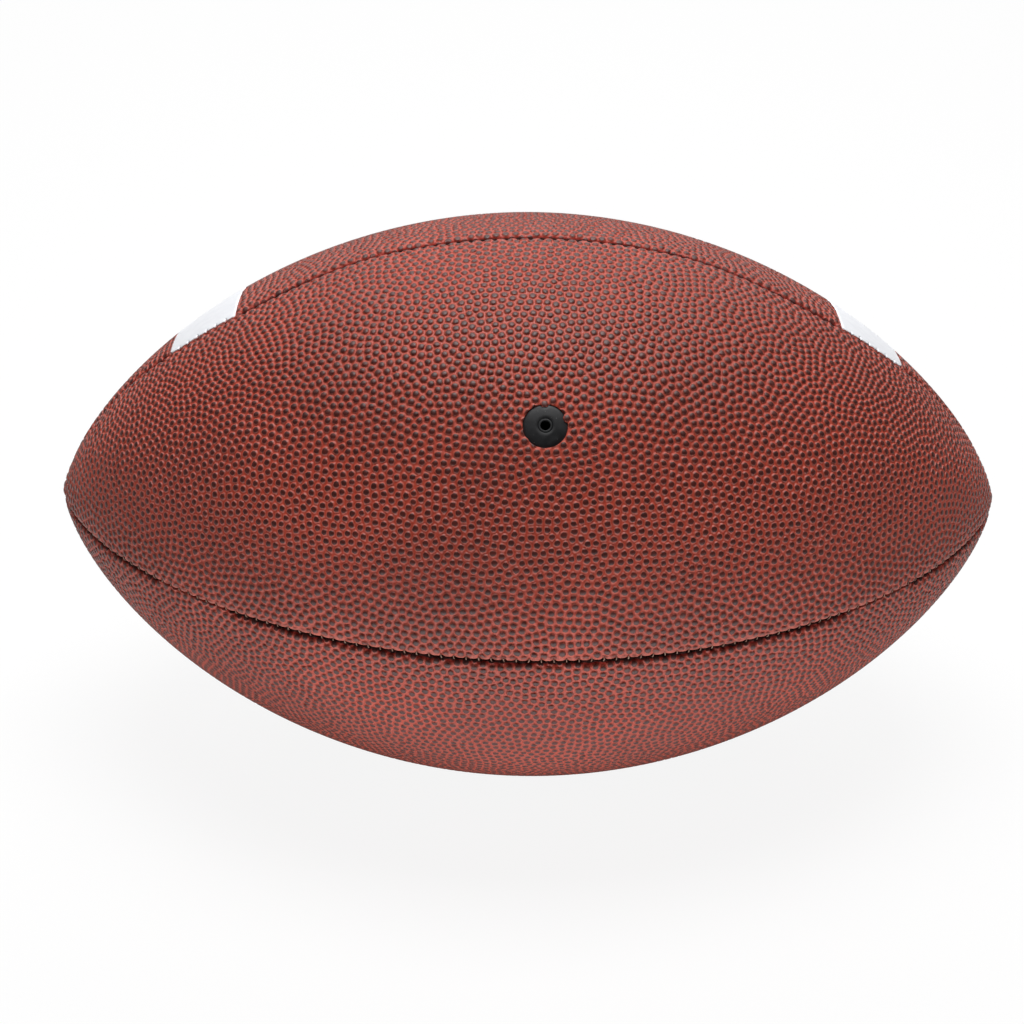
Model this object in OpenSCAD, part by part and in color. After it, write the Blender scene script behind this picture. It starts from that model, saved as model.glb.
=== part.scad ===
// American football: four sewn cover panels over cloth linings, a rubber bladder with a needle valve, a laced
// seam at the back and two white stripes on each lace panel.
// X is the long axis. The seams lie at +Y (laced), +Z, -Y and -Z. The origin is the middle of the ball.

/* [Ball] */
// Length from tip to tip
ball_l = 285; // [276:0.5:292]
// Diameter across the middle
belly_d = 171.6; // [160:0.2:176]
// How full the middle of the profile is
belly_power = 1.98; // [1.8:0.01:2.2]
// How blunt the tips are, smaller being blunter
nose_power = 0.688; // [0.6:0.002:0.76]
// How far the sewn panels' own middle lies from the ball's, along the length
middle_x = 1.7; // [0:0.1:4]

/* [Cover panels] */
// Thickness of the cover
cover_t = 2; // [1.4:0.1:3]
// Thickness of the cloth lining behind it
lining_t = 1; // [0.6:0.1:2]
// Thickness of the edge that is turned in along a seam
hem_t = 2; // [1.2:0.1:3]

/* [Seams] */
// Width of the slot between two turned-in edges
seam_gap = 1; // [0.6:0.1:1.6]
// Width of the crease at the surface
crease_w = 2.6; // [2:0.1:4]
// Depth of the crease
crease_depth = 0.9; // [0.5:0.1:1.2]
// Distance from stitch to stitch along the seam
stitch_pitch = 3.4; // [3:0.1:6]
// Thickness of the sewing thread
thread_d = 0.7; // [0.5:0.05:0.9]
// Depth of the top of a stitch below the surface
stitch_depth = 0.6; // [0.4:0.05:0.9]
// Depth of the running thread below the surface
thread_depth = 1.6; // [1.4:0.05:2]

/* [Stripes] */
// Distance along the surface from a tip to a stripe's far edge
stripe_end = 60.5; // [54:0.5:66]
// Width of a stripe along the surface
stripe_w = 24; // [18:0.5:28]
// Thickness of a stripe
stripe_t = 0.4; // [0.3:0.05:0.8]

/* [Lacing] */
// Number of cross bars
lace_rows = 8; // [6:1:8]
// Distance from bar to bar
row_pitch = 14; // [12:0.5:15]
// Distance between the two rows of holes, across the seam
hole_spread = 24; // [20:0.5:28]
// Diameter of a lace hole
lace_hole_d = 4; // [3.8:0.1:4.6]
// Diameter of the hole at each end of the lacing
end_hole_d = 5; // [4.8:0.1:6]
// Width of the lace
lace_w = 4; // [3.2:0.1:4.6]
// Thickness of the lace
lace_t = 1.3; // [1:0.1:1.5]
// Diameter of the lace where it passes through a hole
lace_neck_d = 3.4; // [2.8:0.1:3.6]
// Thickness of the strips behind the lace holes
facing_t = 1.2; // [0.8:0.1:1.6]
// Distance from the seam to the outer edge of such a strip
facing_w = 16; // [15:0.5:18]
// Thickness of the tongue under the lacing
tongue_t = 1.2; // [0.8:0.1:2]
// Width of the tongue
tongue_w = 30; // [26:0.5:34]

/* [Bladder] */
// Thickness of the rubber wall
bladder_t = 0.8; // [0.6:0.1:1.4]
// Space between the lining and the bladder
bladder_gap = 0.3; // [0.2:0.05:0.4]

/* [Valve] */
// Angle from straight up to the valve, towards the front
valve_lean = 46; // [42:0.5:48]
// Diameter of the valve's head
valve_d = 12.4; // [11:0.1:14]
// Gap between the head and the cover around it
valve_clear = 0.2; // [0.1:0.05:0.4]
// Depth of the head's rim below the surface
valve_rim_depth = 0.9; // [0.6:0.1:1.4]
// Diameter of the flange inside the bladder
valve_flange_d = 24; // [20:0.5:28]
// Thickness of that flange
valve_flange_t = 1.4; // [1:0.1:2]
// Diameter of the barrel that holds the plug
barrel_d = 9.5; // [9:0.1:11]
// Depth of the barrel's inner end below the surface
barrel_depth = 23; // [22:0.5:26]
// Diameter of the plug's neck, seen from outside
plug_neck_d = 3.8; // [3.6:0.1:4.4]
// Diameter of the plug's body
plug_d = 6; // [5.4:0.1:7]
// Depth of the plug's inner end below the surface
plug_depth = 20; // [18:0.5:21]
// Diameter of the needle bore
needle_d = 2.6; // [2.2:0.1:2.8]
// Length of the needle bore
needle_l = 15; // [12:0.5:16]
// Diameter of the air hole behind the plug
air_hole_d = 1.6; // [1:0.1:2.4]

/* [Hidden] */
$fn = 120;

// Quarter turns about the long axis, from the laced seam over the top to the front
TOP_TURN = 90;
FRONT_TURN = 180;
BOTTOM_TURN = 270;

// Steps of the profile from the middle to a tip, and of the shorter bands
profile_steps = 24;
band_steps = 12;
// Halvings that find where an inner layer's profile meets the long axis
search_steps = 40;
// Share of the half length at which the profile is last given a slope
last_slope_share = 0.99999;
// A point of a profile nearer to the long axis than this lies on it
axis_snap = 0.001;
// How far a cut runs past what it cuts
overrun = 2;
// Play between the lace's own turns, and between the layers under it
layer_gap = 0.1;
// How much narrower and thinner a hidden run is than the lace where it passes through a hole
run_squeeze = 0.3;
// Play around the plug
plug_clear = 0.05;

half_l = ball_l / 2;
belly_r = belly_d / 2;
wall_t = cover_t + lining_t;
bladder_depth = wall_t + bladder_gap;
seam_half = seam_gap / 2;
hem_inset = seam_half + hem_t;
// Threads and panels stop short of the long axis by this much
tip_clear = seam_gap;

rows_l = (lace_rows - 1) * row_pitch;
end_hole_x = rows_l / 2 + row_pitch / 2;
slit_half = end_hole_x + end_hole_d;
facing_half = slit_half + lace_w / 2;
hole_side = hole_spread / 2;
// Depths of the lace's hidden runs, the tongue and the hollow that the bladder leaves for them
run_w = lace_neck_d - run_squeeze;
run_t = lace_t - run_squeeze / 2;
run_depth = wall_t + facing_t + layer_gap + drop_at(rows_l / 2, hole_side + lace_neck_d / 2);
tongue_depth = run_depth + lace_t + layer_gap;
hollow_depth = tongue_depth + tongue_t + bladder_gap;
hollow_half_w = max(facing_w, tongue_w / 2) + lace_w / 2;
hollow_half_l = facing_half + hollow_depth / 2;

// Profile of the ball: radius, slope and lean at a distance from the middle
function radius_at(x) = belly_r * pow(1 - pow(abs(x) / half_l, belly_power), nose_power);
function fall_at(u) = nose_power * pow(1 - pow(u, belly_power), nose_power - 1)
                      * belly_power * pow(u, belly_power - 1);
function lean_at(x) = -sign(x) * atan(fall_at(min(abs(x) / half_l, last_slope_share)) * belly_r / half_l);
// Point at a depth below the surface, as distance along the length and radius
function under(x, depth) = [x + depth * sin(lean_at(x)), radius_at(x) - depth * cos(lean_at(x))];
// How much the cover falls away from the laced seam, at a station, to a distance across it
function drop_at(x, across) = across * across / (2 * radius_at(x));
// Last station whose point at this depth still has the given radius
function last_x(depth, radius, low = 0, high = half_l, left = search_steps) =
    left == 0 ? low :
    let (mid = (low + high) / 2)
    under(mid, depth)[1] > radius ? last_x(depth, radius, mid, high, left - 1) :
                                    last_x(depth, radius, low, mid, left - 1);
// Points at a depth, evenly from one station to another
function line_at(depth, from, to, steps) = [for (i = [0:steps]) under(from + (to - from) * i / steps, depth)];
// Points at a depth from end to end, closer together towards the tips
function arc_at(depth, end, steps) = [for (i = [-steps:steps]) under(end * sin(90 * i / steps), depth)];
function reversed(list) = [for (i = [len(list) - 1:-1:0]) list[i]];
function swapped(list) = [for (p = list) [p[1] > axis_snap ? p[1] : 0, p[0]]];

// Distance along the surface from the middle, against the station
arc_steps = 200;
arc_x = [for (i = [0:arc_steps]) half_l * sin(90 * i / arc_steps)];
arc_points = [for (x = arc_x) [x, radius_at(x)]];
arc_table = [for (i = 0, s = 0;
                  i <= arc_steps;
                  i = i + 1,
                  s = i > arc_steps ? s : s + norm(arc_points[i] - arc_points[i - 1]))
             [s, arc_x[i]]];
x_table = [for (p = arc_table) [p[1], p[0]]];
function x_along(s) = sign(s) * lookup(abs(s), arc_table);
function along_x(x) = sign(x) * lookup(abs(x), x_table);

// Turns what is drawn at the laced seam, or in the quarter above it, to another seam or quarter
module turned(turn) {
    rotate([turn, 0, 0])
        children();
}

// The solid inside the surface at a depth
module inside(depth) {
    end = depth > 0 ? last_x(depth, 0) : half_l;
    points = swapped(arc_at(depth, end, profile_steps));
    rotate([90, 0, 90])
        rotate_extrude()
            polygon(points);
}

// A quarter of the layer between two depths, kept away from its two seam planes
module quarter_layer(outer_depth, inner_depth, inset) {
    outer_end = outer_depth > 0 ? last_x(outer_depth, 0) : half_l;
    outer = arc_at(outer_depth, outer_end, profile_steps);
    inner = arc_at(inner_depth, last_x(inner_depth, 0), profile_steps);
    intersection() {
        rotate([90, 0, 90])
            rotate_extrude(angle = 90)
                polygon(concat(swapped(outer), reversed(swapped(inner))));
        translate([-ball_l, inset, inset])
            cube([2 * ball_l, belly_d, belly_d]);
    }
}

// A slice of the layer between two depths along the laced seam, flat across it
module seam_slice(outer_depth, inner_depth, half_length, width) {
    from = middle_x - half_length;
    to = middle_x + half_length;
    linear_extrude(height = width, center = true)
        polygon(concat(line_at(outer_depth, from, to, 2 * band_steps),
                       reversed(line_at(inner_depth, from, to, 2 * band_steps))));
}

// Puts things at a station on the laced seam: X along the ball, Y outwards, Z across the seam
module on_seam(x) {
    translate([x, radius_at(x), 0])
        rotate([0, 0, lean_at(x)])
            children();
}

// A round bar along Y, from one height to another
module post(d, bottom, top) {
    translate([0, bottom, 0])
        rotate([-90, 0, 0])
            cylinder(d = d, h = top - bottom);
}

// Puts things on the valve's axis, with Z outwards from the middle of the ball
module on_valve() {
    translate([middle_x, 0, 0])
        rotate([valve_lean, 0, 0])
            children();
}

function row_x(row) = middle_x + row * row_pitch - rows_l / 2;

// All holes for the lace
module lace_holes() {
    for (row = [0:lace_rows - 1])
        on_seam(row_x(row))
            for (side = [-hole_side, hole_side])
                translate([0, 0, side])
                    post(lace_hole_d, -hollow_depth, overrun);
    for (end = [-end_hole_x, end_hole_x])
        on_seam(middle_x + end)
            post(end_hole_d, -hollow_depth, overrun);
}

module valve_hole() {
    on_valve()
        cylinder(d = valve_d + 2 * valve_clear, h = belly_d);
}

// The crease that a panel's rounded edge leaves along a seam
module crease() {
    cut_x = last_x(crease_depth, 0);
    linear_extrude(height = crease_w, center = true)
        polygon(concat(arc_at(crease_depth, cut_x, profile_steps),
                       [[ball_l, 0], [ball_l, belly_d], [-ball_l, belly_d], [-ball_l, 0]]));
}

// A cover panel in the quarter above the laced seam, with its edges turned in
module plain_panel() {
    difference() {
        quarter_layer(0, wall_t, seam_half);
        quarter_layer(cover_t, wall_t + overrun, hem_inset);
        crease();
        turned(TOP_TURN)
            crease();
    }
}

module plain_lining() {
    quarter_layer(cover_t, wall_t, hem_inset);
}

module valve_panel() {
    color([0.42, 0.16, 0.12])
        difference() {
            turned(TOP_TURN)
                plain_panel();
            valve_hole();
        }
}

module upper_lace_panel() {
    color([0.45, 0.18, 0.13])
        difference() {
            plain_panel();
            lace_holes();
        }
}

module lower_lace_panel() {
    color([0.45, 0.18, 0.13])
        difference() {
            turned(BOTTOM_TURN)
                plain_panel();
            lace_holes();
        }
}

module front_lower_panel() {
    color([0.4, 0.15, 0.11])
        turned(FRONT_TURN)
            plain_panel();
}

module valve_lining() {
    color([0.8, 0.76, 0.66])
        difference() {
            turned(TOP_TURN)
                plain_lining();
            valve_hole();
        }
}

module upper_lace_lining() {
    color([0.8, 0.76, 0.66])
        difference() {
            plain_lining();
            lace_holes();
        }
}

module lower_lace_lining() {
    color([0.8, 0.76, 0.66])
        difference() {
            turned(BOTTOM_TURN)
                plain_lining();
            lace_holes();
        }
}

module front_lower_lining() {
    color([0.8, 0.76, 0.66])
        turned(FRONT_TURN)
            plain_lining();
}

// A seam's thread between two stations along the surface: the running thread, with its stitches standing up
module thread_run(from, to) {
    stitches = floor((to - from) / stitch_pitch);
    first = from + (to - from - (stitches - 1) * stitch_pitch) / 2;
    half_d = thread_d / 2;
    top = [for (i = [0:stitches - 1])
           let (s = first + i * stitch_pitch)
           each [under(x_along(s - half_d), thread_depth),
                 under(x_along(s - half_d), stitch_depth),
                 under(x_along(s + half_d), stitch_depth),
                 under(x_along(s + half_d), thread_depth)]];
    low_end = x_along(first - half_d);
    high_end = x_along(first + (stitches - 1) * stitch_pitch + half_d);
    bottom = line_at(thread_depth + thread_d, low_end, high_end, 4 * band_steps);
    color([0.62, 0.52, 0.36])
        linear_extrude(height = seam_gap, center = true)
            polygon(concat(top, reversed(bottom)));
}

// Last place along the surface where a thread has room beside the three others
thread_end = along_x(last_x(thread_depth + thread_d, tip_clear));

module lace_seam_thread() {
    thread_run(along_x(middle_x + slit_half), thread_end);
    thread_run(-thread_end, along_x(middle_x - slit_half));
}

module top_seam_thread() {
    turned(TOP_TURN)
        thread_run(-thread_end, thread_end);
}

module front_seam_thread() {
    turned(FRONT_TURN)
        thread_run(-thread_end, thread_end);
}

module bottom_seam_thread() {
    turned(BOTTOM_TURN)
        thread_run(-thread_end, thread_end);
}

// A stripe across the quarter above the laced seam, on the left (-1) or right (1)
module stripe(side) {
    far_s = along_x(half_l) - stripe_end;
    near = x_along(middle_x + side * (far_s - stripe_w));
    far = x_along(middle_x + side * far_s);
    outer = line_at(-stripe_t, near, far, band_steps);
    inner = line_at(0, near, far, band_steps);
    color([0.93, 0.94, 0.97])
        intersection() {
            rotate([90, 0, 90])
                rotate_extrude(angle = 90)
                    polygon(concat(swapped(outer), reversed(swapped(inner))));
            translate([-ball_l, crease_w / 2, crease_w / 2])
                cube([2 * ball_l, belly_d, belly_d]);
        }
}

module upper_left_stripe() {
    stripe(-1);
}

module upper_right_stripe() {
    stripe(1);
}

module lower_left_stripe() {
    turned(BOTTOM_TURN)
        stripe(-1);
}

module lower_right_stripe() {
    turned(BOTTOM_TURN)
        stripe(1);
}

// The strip behind a row of lace holes, above the seam
module facing() {
    intersection() {
        quarter_layer(wall_t, wall_t + facing_t, seam_half);
        translate([middle_x - facing_half, 0, 0])
            cube([2 * facing_half, belly_d, facing_w]);
    }
}

module upper_lace_facing() {
    color([0.7, 0.66, 0.56])
        difference() {
            facing();
            lace_holes();
        }
}

module lower_lace_facing() {
    color([0.7, 0.66, 0.56])
        difference() {
            mirror([0, 0, 1])
                facing();
            lace_holes();
        }
}

module lace_tongue() {
    color([0.55, 0.5, 0.42])
        seam_slice(tongue_depth, tongue_depth + tongue_t, facing_half, tongue_w);
}

// One cross bar of the lace: it rises over the two long runs and dips to a hole on each side
module cross_bar(x) {
    clear = lace_t + 2 * layer_gap;
    crown = clear + lace_t;
    neck_r = lace_neck_d / 2;
    inner = hole_side - neck_r - layer_gap;
    outer = hole_side + neck_r + layer_gap;
    foot = layer_gap - drop_at(x, hole_side);
    half = [[0, crown],
            [lace_w + layer_gap, crown],
            [hole_side, foot + lace_t],
            [outer, layer_gap - drop_at(x, outer)],
            [inner, layer_gap - drop_at(x, inner)],
            [lace_w + 2 * layer_gap, clear],
            [0, clear]];
    outline = concat(half, [for (p = reversed(half)) if (p[0] > 0) [-p[0], p[1]]]);
    on_seam(x) {
        rotate([0, -90, 0])
            linear_extrude(height = lace_w, center = true)
                polygon(outline);
        for (side = [-hole_side, hole_side])
            translate([0, 0, side])
                post(lace_neck_d, -run_depth - lace_t, foot + lace_t / 2);
    }
}

// Middle of a hidden run's end, at a station and a distance from the seam
function run_end(x, side) =
    let (p = under(x, run_depth + lace_t / 2))
    [p[0], p[1], side];

// A flat hidden run of the lace between two such points
module hidden_run(from, to) {
    step = to - from;
    flat_l = norm([step[0], step[2]]);
    translate(from)
        rotate([0, -atan2(step[2], step[0]), 0])
            rotate([0, 0, atan2(step[1], flat_l)])
                translate([0, -run_t / 2, -run_w / 2])
                    cube([norm(step), run_t, run_w]);
}

module lace() {
    last_row = lace_rows - 1;
    color([0.92, 0.92, 0.9]) {
        for (side = [-1, 1])
            translate([0, 0, side * (lace_w + layer_gap) / 2])
                seam_slice(-layer_gap - lace_t, -layer_gap, end_hole_x, lace_w);
        for (end = [-end_hole_x, end_hole_x])
            on_seam(middle_x + end)
                post(lace_w, -run_depth - lace_t, lace_t);
        for (row = [0:last_row])
            cross_bar(row_x(row));
        for (row = [0:last_row - 1])
            hidden_run(run_end(row_x(row), hole_side), run_end(row_x(row + 1), -hole_side));
        hidden_run(run_end(middle_x - end_hole_x, 0), run_end(row_x(0), -hole_side));
        hidden_run(run_end(row_x(last_row), hole_side), run_end(middle_x + end_hole_x, 0));
    }
}

// The hollow that the bladder leaves for the lacing, grown by a margin
module lacing_hollow(margin) {
    end = hollow_half_l + margin;
    floor_line = line_at(hollow_depth + margin, middle_x - end, middle_x + end, 2 * band_steps);
    linear_extrude(height = 2 * (hollow_half_w + margin), center = true)
        polygon(concat(floor_line, [[floor_line[2 * band_steps][0], belly_d], [floor_line[0][0], belly_d]]));
}

module bladder() {
    color([0.12, 0.12, 0.13])
        difference() {
            inside(bladder_depth);
            lacing_hollow(0);
            difference() {
                inside(bladder_depth + bladder_t);
                lacing_hollow(bladder_t);
            }
            on_valve()
                cylinder(d = valve_d, h = belly_d);
        }
}

// Height of the bladder's inner face over the valve's own plane, at a distance from the valve's axis
function inner_face(r) = belly_r - bladder_depth - bladder_t - layer_gap - r * r / belly_d;

module valve_body() {
    rim = belly_r - valve_rim_depth;
    crown = belly_r;
    plug_top = belly_r - bladder_depth - valve_flange_t;
    neck_r = plug_neck_d / 2 + plug_clear;
    chamber_r = plug_d / 2 + plug_clear;
    flange_r = valve_flange_d / 2;
    color([0.1, 0.1, 0.11])
        on_valve()
            rotate_extrude()
                polygon([[neck_r, crown],
                         [valve_d / 4, crown - valve_rim_depth / 6],
                         [valve_d / 2 - valve_rim_depth / 2, rim + valve_rim_depth / 3],
                         [valve_d / 2, rim],
                         [valve_d / 2, inner_face(valve_d / 2)],
                         [flange_r, inner_face(flange_r)],
                         [flange_r, inner_face(flange_r) - valve_flange_t / 2],
                         [barrel_d / 2, inner_face(barrel_d / 2) - 2 * valve_flange_t],
                         [barrel_d / 2, belly_r - barrel_depth],
                         [air_hole_d / 2, belly_r - barrel_depth],
                         [air_hole_d / 2, belly_r - plug_depth - plug_clear],
                         [chamber_r, belly_r - plug_depth - plug_clear],
                         [chamber_r, plug_top + plug_clear],
                         [neck_r, plug_top + plug_clear]]);
}

// The self-sealing plug: its slit beyond the bore is shut, as it is with no needle in it
module valve_plug() {
    plug_top = belly_r - bladder_depth - valve_flange_t;
    color([0.06, 0.06, 0.07])
        on_valve()
            rotate_extrude()
                polygon([[needle_d / 2, belly_r],
                         [plug_neck_d / 2, belly_r],
                         [plug_neck_d / 2, plug_top],
                         [plug_d / 2, plug_top],
                         [plug_d / 2, belly_r - plug_depth],
                         [0, belly_r - plug_depth],
                         [0, belly_r - needle_l],
                         [needle_d / 2, belly_r - needle_l]]);
}

valve_panel();
upper_lace_panel();
lower_lace_panel();
front_lower_panel();
valve_lining();
upper_lace_lining();
lower_lace_lining();
front_lower_lining();
lace_seam_thread();
top_seam_thread();
front_seam_thread();
bottom_seam_thread();
upper_left_stripe();
upper_right_stripe();
lower_left_stripe();
lower_right_stripe();
upper_lace_facing();
lower_lace_facing();
lace_tongue();
lace();
bladder();
valve_body();
valve_plug();
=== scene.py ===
import math

import bmesh
import bpy
import numpy as np
from mathutils import Matrix, Vector
from mathutils.geometry import delaunay_2d_cdt
from mathutils.kdtree import KDTree


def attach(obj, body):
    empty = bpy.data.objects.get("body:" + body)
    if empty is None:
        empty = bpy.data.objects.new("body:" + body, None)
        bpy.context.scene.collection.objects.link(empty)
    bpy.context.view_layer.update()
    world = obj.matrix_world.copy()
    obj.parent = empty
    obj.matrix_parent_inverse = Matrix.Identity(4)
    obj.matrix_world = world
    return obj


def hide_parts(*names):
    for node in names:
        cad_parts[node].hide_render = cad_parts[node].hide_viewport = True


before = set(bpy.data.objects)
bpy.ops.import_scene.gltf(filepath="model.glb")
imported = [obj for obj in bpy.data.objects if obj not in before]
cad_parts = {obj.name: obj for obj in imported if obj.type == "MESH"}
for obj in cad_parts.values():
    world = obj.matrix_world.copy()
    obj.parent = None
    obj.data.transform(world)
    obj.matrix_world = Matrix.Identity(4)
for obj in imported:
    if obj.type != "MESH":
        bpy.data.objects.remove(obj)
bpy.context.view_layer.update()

MM = 0.001
BODY = "root"

# The ball
HALF_L = 142.5 * MM
BELLY_R = 85.8 * MM
BELLY_POWER = 1.98
NOSE_POWER = 0.688
MIDDLE_X = 1.7 * MM
TABLE_STEPS = 6000

# Seams, by their angle
LACED_SEAM = 0.0
TOP_SEAM = math.pi / 2
FRONT_SEAM = math.pi
BOTTOM_SEAM = 3 * math.pi / 2
HALF_PANEL = math.pi / 4

# The top seam bows towards the front beside the stripes
BOW = math.radians(4.8)
BOW_FROM, BOW_FULL = 42 * MM, 92 * MM
BOW_FALLS, BOW_ENDS = 108 * MM, 138 * MM

# Grain of the covers. Its first centres follow the steps of a sequence that fills a rectangle evenly.
GRAIN_PITCH = 2.48 * MM
GRAIN_DEPTH = 0.28 * MM
GRAIN_VALLEY = 0.26 * MM
GRAIN_FROM = 0.85 * MM
GRAIN_ROUNDS = 16
GRAIN_MARGIN = 2.4 * GRAIN_PITCH
GRAIN_JITTER = 0.22
GRAIN_RAGGED = 0.04
EVEN_STEPS = (0.7548776662466927, 0.5698402909980532)
FOOT_LEAST, FOOT_MOST = 0.45 * MM, 1.5 * MM
# Rings of each grain, from its flat top out: the share of its foot's radius, the height, the number of points
GRAIN_RINGS = [(0.66, 1.0, 7), (1.0, 0.0, 9)]

# Edges of the covers, which roll into the seams
COVER_T = 2.0 * MM
PLAIN_DEPTH = 0.15 * MM
SEAM_HALF = 0.28 * MM
ROLL_R = 1.5 * MM
SHARP_ROLL_R = 0.75 * MM
SOFT_ROLL_R = 3.3 * MM
WIDE_ROLL_R = 2.8 * MM
STRIPE_ROLL_R = 0.45 * MM
PUCKER_DEPTH = 0.8 * MM
PUCKER_REACH = 1.5 * MM
PUCKER_HALF_W = 0.65 * MM
STITCH_PITCH = 3.4 * MM
EDGE_ROWS = [0.44 * MM, 0.66 * MM]
EDGE_STEP = 0.6 * MM
TIP_R = 0.5 * MM
TIP_FLARE = 0.35 * MM
TIP_FLARE_R = 3.5 * MM
WAVER_LENGTHS = (31 * MM, 12.7 * MM, 5.3 * MM)

# Thread in the seams. A stitch's places across its seam are shares of its reach, each with its own sink.
STITCH_R = 0.14 * MM
STITCH_REACH = 0.85 * MM
STITCH_SHARES = np.array([-1.0, -0.7, -0.35, 0.0, 0.35, 0.7, 1.0])
STITCH_ARCH = np.array([0.42, 0.12, 0.02, 0.0, 0.02, 0.12, 0.42]) * MM
STITCH_SINK = 0.36 * MM
FRONT_STITCH_SINK = STITCH_SINK + 0.1 * MM
FRONT_STITCH_SLANT = 0.30 * MM
HIDDEN_STITCH_SINK = 1.15 * MM
CORD_R = 0.3 * MM
CORD_SINK = 1.6 * MM

# Stripes
STRIPE_END = 60.5 * MM
STRIPE_W = 24.0 * MM
STRIPE_T = 0.32 * MM
STRIPE_BED = 0.27 * MM
STRIPE_DROP = 0.22 * MM
STRIPE_SKIRT = 0.3 * MM
OUTER_CORNER = 1.9 * MM
INNER_CORNER = 0.9 * MM
STRIPE_EDGE = 0.3 * MM
STRIPE_BEVEL = 0.24 * MM
# Grids of a stripe's places: the step along the ball, the number across it, and the distances from the border
# between which they are used
STRIPE_GRIDS = [(0.42 * MM, 300, 1.3 * STRIPE_BEVEL, 1.0 * MM), (1.6 * MM, 80, 1.3 * MM, 1.0)]
NOTCH_W = 0.65 * MM
NOTCH_DEPTH = 1.3 * MM

# Lacing
LACE_ROWS = 8
ROW_PITCH = 14.0 * MM
HOLE_SIDE = 12.0 * MM
LACE_HOLE_R = 2.0 * MM
END_HOLE_R = 2.5 * MM
LACE_W = 4.0 * MM
LACE_T = 1.3 * MM
LACE_CORNERS = 20
LACE_ROUNDING = 0.42
END_HOLE_X = LACE_ROWS * ROW_PITCH / 2
SLIT_HALF = END_HOLE_X + 2 * END_HOLE_R
# A long run from its end in: past the end hole, away from the seam, and height over the ball, in mm
LACE_RUN = [(-1.6, 1.1, -4.2), (-0.5, 1.15, -1.6), (1.2, 1.3, 0.15), (4.5, 1.8, 0.72), (9.0, 2.1, 0.76)]
RUN_MIDDLE = 20 * MM
# A cross bar from its hole in: away from the seam and height
LACE_BAR = [
    (HOLE_SIDE + 0.5 * MM, -3.6 * MM), (HOLE_SIDE + 0.2 * MM, -1.7 * MM), (HOLE_SIDE - 0.8 * MM, 0.02 * MM),
    (HOLE_SIDE - 3.0 * MM, 0.85 * MM), (6.6 * MM, 1.32 * MM), (4.4 * MM, 1.88 * MM), (2.2 * MM, 2.1 * MM),
]
BAR_TOP = 2.13 * MM

# Valve. Profiles from the mouth out: radius and depth under the ball's widest surface, in mm. Both close on
# themselves.
VALVE_ANGLE = math.radians(90 + 46)
VALVE_HOLE_R = 6.0 * MM
VALVE_PROFILE = [
    (1.95, 0.22), (1.98, 0.08), (2.06, 0.03), (2.9, 0.08), (3.6, 0.16), (4.3, 0.28), (4.9, 0.42), (5.4, 0.58),
    (5.8, 0.74), (6.04, 0.90), (6.15, 1.12), (6.18, 2.9), (6.5, 3.06), (11.5, 3.15), (12.0, 3.5), (11.6, 4.2),
    (6.2, 4.5), (4.9, 5.4), (4.75, 8.0), (4.75, 21.6), (4.2, 22.8), (0.9, 23.0), (0.8, 22.9), (0.8, 21.2),
    (2.9, 21.0), (3.05, 20.6), (3.05, 5.4), (2.8, 4.8), (2.05, 4.5), (1.95, 4.2),
]
PLUG_PROFILE = [
    (1.3, 0.5), (1.3, 0.12), (1.36, 0.04), (1.5, 0.0), (1.8, 0.02), (1.88, 0.08), (1.9, 0.16), (1.9, 4.3),
    (2.1, 4.7), (2.8, 5.1), (3.0, 5.6), (3.0, 19.4), (2.7, 20.0), (0.6, 20.1), (0.45, 19.9), (0.45, 15.8),
    (1.0, 15.4), (1.3, 14.8),
]

# Colours
LEATHER_VALLEY = (0.378, 0.043, 0.021)
# Pinker than the valley floor: a painted highlight on each grain's flank
LEATHER_FLANK_HIGHLIGHT = (0.37, 0.068, 0.042)
LEATHER_TOP = (0.050, 0.0055, 0.0028)
LEATHER_PLAIN = (0.40, 0.085, 0.055)
# Painted shade in the seams: near black deepest in a crease, and a darkening factor where the leather rolls
# in
LEATHER_CREASE_SHADE = (0.020, 0.003, 0.002)
LEATHER_SHADED = (0.68, 0.32, 0.26)
VINYL = ((0.82, 0.83, 0.86), (0.78, 0.79, 0.825))
LACE = ((0.83, 0.82, 0.79), (0.72, 0.70, 0.66))
THREAD = ((0.20, 0.10, 0.065), (0.32, 0.19, 0.14))
SUEDE = ((0.20, 0.055, 0.035), (0.30, 0.095, 0.06))
LINING = (0.62, 0.58, 0.50)
BLACK = (0.010, 0.010, 0.011)
BLADDER = (0.05, 0.05, 0.055)

# Stage, light and camera. The floor throws back less light from SHADE_FROM towards the camera.
FLOOR_Z = -BELLY_R - 0.2 * MM
FLOOR_HALF = 6.0
FLOOR_WHITE, FLOOR_DARK, FLOOR_SHOWN = 0.88, 0.06, 0.9
SHADE_FROM, SHADE_TO = -0.26, -0.42
# Softboxes, which all aim at the ball, by their place, size and power
SOFTBOXES = {
    "top_softbox": ((0, 0.05, 1.1), (0.8, 0.5), 14.8),
    "back_softbox": ((0, 0.9, 0.8), (1.4, 0.8), 4.6),
    "low_back_softbox": ((0, 1.1, 0.35), (1.4, 0.5), 1.3),
}
# Lit strips of the floor, by their middle towards the camera, size and power
GLOWS = {"edge": (-0.11, (0.4, 0.10), 0.09), "near": (-0.23, (0.44, 0.14), 0.74)}
WORLD_LIGHT = 0.03
CAMERA_DISTANCE = 576.1 * MM
CAMERA_AZIMUTH = math.radians(-1.811)
CAMERA_RISE = math.radians(31.772)
CAMERA_AIM = (-5.28 * MM, -5.55 * MM)
CAMERA_ROLL = math.radians(1.199)
CAMERA_LENS = 65.84


# The ball's surface


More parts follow.
